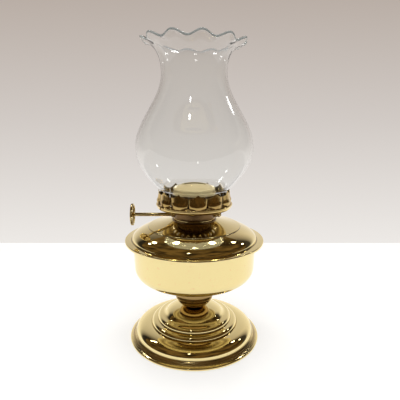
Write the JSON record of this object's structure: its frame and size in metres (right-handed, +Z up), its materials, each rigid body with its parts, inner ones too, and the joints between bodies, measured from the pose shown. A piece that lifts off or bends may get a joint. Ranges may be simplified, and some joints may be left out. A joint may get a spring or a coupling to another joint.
{
  "type": "table oil lamp",
  "caption": "Brass table oil lamp: stepped round foot, flanged round font, flat-wick burner with a side thumbwheel, petalled gallery and crimp-top glass chimney.",
  "frame": {"origin": "middle of the foot on the table plane, on the lamp's axis", "axes": "+Z up the lamp's axis, -Y towards the viewer, thumbwheel towards -X"},
  "size_m": [0.133, 0.133, 0.2851],
  "materials": {
    "polished_brass": "polished, spun, lightly worn",
    "burner_brass": "darkened, handled",
    "zinc_steel": "zinc plated",
    "cotton_wick": "woven cotton",
    "chimney_glass": "clear, hand-crimped rim"
  },
  "bodies": {
    "lamp_base": {"foot": "polished_brass", "foot_washer": "zinc_steel", "foot_nut": "zinc_steel", "tie_rod": "zinc_steel", "stem_cup": "polished_brass", "font_boss": "burner_brass", "font_bowl": "polished_brass", "font_cover": "polished_brass", "font_collar": "polished_brass"},
    "screw_ring": {"screw_ring": "burner_brass"},
    "burner": {"burner_drum": "burner_brass", "shaft_bushes": "burner_brass", "wick_tube": "burner_brass", "air_plate": "burner_brass", "gallery_pan": "burner_brass", "gallery_coronet": "burner_brass", "flame_deflector": "polished_brass"},
    "wick_raiser": {"raiser_shaft": "burner_brass", "spur_wheels": "zinc_steel", "shaft_stop": "burner_brass", "thumbwheel": "burner_brass", "thumbwheel_hub": "burner_brass"},
    "wick": {"wick": "cotton_wick"},
    "chimney": {"glass_chimney": "chimney_glass"}
  },
  "joints": [
    {"name": "burner_lift", "type": "slide", "parent": "lamp_base", "child": "screw_ring", "axis": [0, 0, 1], "range_m": [0, 0.0082]},
    {"name": "burner_unscrew", "type": "hinge", "parent": "screw_ring", "child": "burner", "pos_m": [0, 0, 0.12237], "axis": [0, 0, 1], "range_deg": [0, 1620]},
    {"name": "wick_turn", "type": "hinge", "parent": "burner", "child": "wick_raiser", "pos_m": [0, -0.0056, 0.12607], "axis": [1, 0, 0], "range_deg": [-120, 120]},
    {"name": "wick_rise", "type": "slide", "parent": "burner", "child": "wick", "axis": [0, 0, 1], "range_m": [-0.0088, 0.0088]},
    {"name": "chimney_lift", "type": "slide", "parent": "burner", "child": "chimney", "axis": [0, 0, 1], "range_m": [0, 0.06]}
  ],
  "couplings": [
    {"joint": "burner_lift", "follows": "burner_unscrew", "m_per_rad": 0.00028648},
    {"joint": "wick_rise", "follows": "wick_turn", "m_per_rad": 0.0042}
  ]
}
